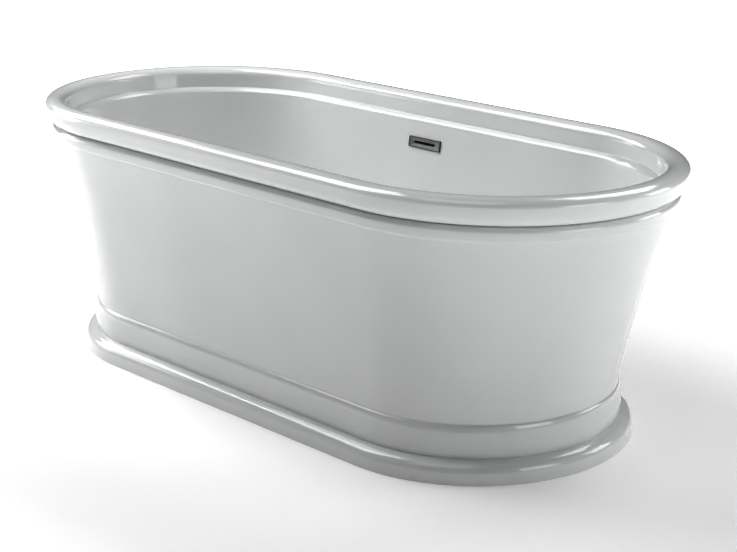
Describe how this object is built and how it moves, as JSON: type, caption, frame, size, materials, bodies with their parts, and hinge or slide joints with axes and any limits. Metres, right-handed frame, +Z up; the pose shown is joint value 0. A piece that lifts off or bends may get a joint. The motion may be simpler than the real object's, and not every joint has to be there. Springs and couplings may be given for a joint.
{
  "type": "freestanding bathtub",
  "caption": "Double-ended freestanding tub with a rolled rim, flared sides, a stepped plinth, a slotted overflow, a push-up drain stopper and levelling feet.",
  "frame": {"origin": "on the floor under the middle of the tub", "axes": "+X along the tub, +Y across it towards the overflow side, +Z up"},
  "size_m": [1.7, 0.8, 0.6],
  "materials": {
    "acrylic": "polished white sanitary acrylic",
    "fibreglass": "rough sprayed resin and glass",
    "bond": "cured bonding paste",
    "board": "raw moisture-proof particle board",
    "block": "sawn softwood",
    "frame": "galvanised and clear-coated square tube",
    "zinc": "zinc-plated steel",
    "chrome": "polished chrome plate",
    "brushed": "brushed nickel plate",
    "waste_plastic": "moulded white polypropylene",
    "pad_plastic": "moulded black nylon",
    "hose": "corrugated light grey polypropylene",
    "rubber": "moulded black rubber",
    "spring_steel": "drawn spring wire"
  },
  "bodies": {
    "tub": {"base_board": "board", "basin_fibreglass": "fibreglass", "bracket_screws": "zinc", "foot_lock_nut_1": "zinc", "foot_lock_nut_2": "zinc", "foot_lock_nut_3": "zinc", "foot_lock_nut_4": "zinc", "foot_lock_nut_5": "zinc", "foot_nuts": "zinc", "frame_cross_centre": "frame", "frame_cross_left": "frame", "frame_cross_right": "frame", "frame_rail_front": "frame", "frame_rail_rear": "frame", "hose_clip_lower": "zinc", "hose_clip_upper": "zinc", "inner_basin": "acrylic", "outer_skirt": "acrylic", "overflow_body": "waste_plastic", "overflow_gasket": "rubber", "overflow_hose": "hose", "overflow_plate": "brushed", "overflow_screws": "zinc", "rail_bolts": "zinc", "rim_bond": "bond", "skirt_blocks": "block", "skirt_brackets": "zinc", "skirt_fibreglass": "fibreglass", "stopper_cartridge": "waste_plastic", "stopper_spring": "spring_steel", "tailpiece_nut": "waste_plastic", "waste_backnut": "waste_plastic", "waste_body": "waste_plastic", "waste_flange": "chrome", "waste_seal_lower": "rubber", "waste_seal_upper": "rubber", "waste_tailpiece": "waste_plastic"},
    "stopper": {"stopper_cap": "chrome", "stopper_seal": "rubber", "stopper_stem": "zinc"},
    "foot_1": {"foot_pad_1": "pad_plastic"},
    "foot_1_stud": {"foot_stud_1": "zinc"},
    "foot_2": {"foot_pad_2": "pad_plastic"},
    "foot_2_stud": {"foot_stud_2": "zinc"},
    "foot_3": {"foot_pad_3": "pad_plastic"},
    "foot_3_stud": {"foot_stud_3": "zinc"},
    "foot_4": {"foot_pad_4": "pad_plastic"},
    "foot_4_stud": {"foot_stud_4": "zinc"},
    "foot_5": {"foot_pad_5": "pad_plastic"},
    "foot_5_stud": {"foot_stud_5": "zinc"}
  },
  "joints": [
    {"name": "stopper_lift", "type": "slide", "parent": "tub", "child": "stopper", "axis": [0, 0, 1], "range_m": [0, 0.009], "deforming": ["stopper_spring"]},
    {"name": "foot_1_height", "type": "slide", "parent": "tub", "child": "foot_1", "axis": [0, 0, -1], "range_m": [0, 0.015]},
    {"name": "foot_1_turn", "type": "hinge", "parent": "foot_1", "child": "foot_1_stud", "pos_m": [-0.4, -0.23, 0], "axis": [0, 0, -1], "range_deg": [0, 3086]},
    {"name": "foot_2_height", "type": "slide", "parent": "tub", "child": "foot_2", "axis": [0, 0, -1], "range_m": [0, 0.015]},
    {"name": "foot_2_turn", "type": "hinge", "parent": "foot_2", "child": "foot_2_stud", "pos_m": [-0.4, 0.23, 0], "axis": [0, 0, -1], "range_deg": [0, 3086]},
    {"name": "foot_3_height", "type": "slide", "parent": "tub", "child": "foot_3", "axis": [0, 0, -1], "range_m": [0, 0.015]},
    {"name": "foot_3_turn", "type": "hinge", "parent": "foot_3", "child": "foot_3_stud", "pos_m": [0.4, -0.23, 0], "axis": [0, 0, -1], "range_deg": [0, 3086]},
    {"name": "foot_4_height", "type": "slide", "parent": "tub", "child": "foot_4", "axis": [0, 0, -1], "range_m": [0, 0.015]},
    {"name": "foot_4_turn", "type": "hinge", "parent": "foot_4", "child": "foot_4_stud", "pos_m": [0.4, 0.23, 0], "axis": [0, 0, -1], "range_deg": [0, 3086]},
    {"name": "foot_5_height", "type": "slide", "parent": "tub", "child": "foot_5", "axis": [0, 0, -1], "range_m": [0, 0.015]},
    {"name": "foot_5_turn", "type": "hinge", "parent": "foot_5", "child": "foot_5_stud", "pos_m": [0.15, 0, 0], "axis": [0, 0, -1], "range_deg": [0, 3086]}
  ],
  "couplings": [
    {"joint": "foot_1_turn", "follows": "foot_1_height", "rad_per_m": 3590.4},
    {"joint": "foot_2_turn", "follows": "foot_2_height", "rad_per_m": 3590.4},
    {"joint": "foot_3_turn", "follows": "foot_3_height", "rad_per_m": 3590.4},
    {"joint": "foot_4_turn", "follows": "foot_4_height", "rad_per_m": 3590.4},
    {"joint": "foot_5_turn", "follows": "foot_5_height", "rad_per_m": 3590.4}
  ]
}
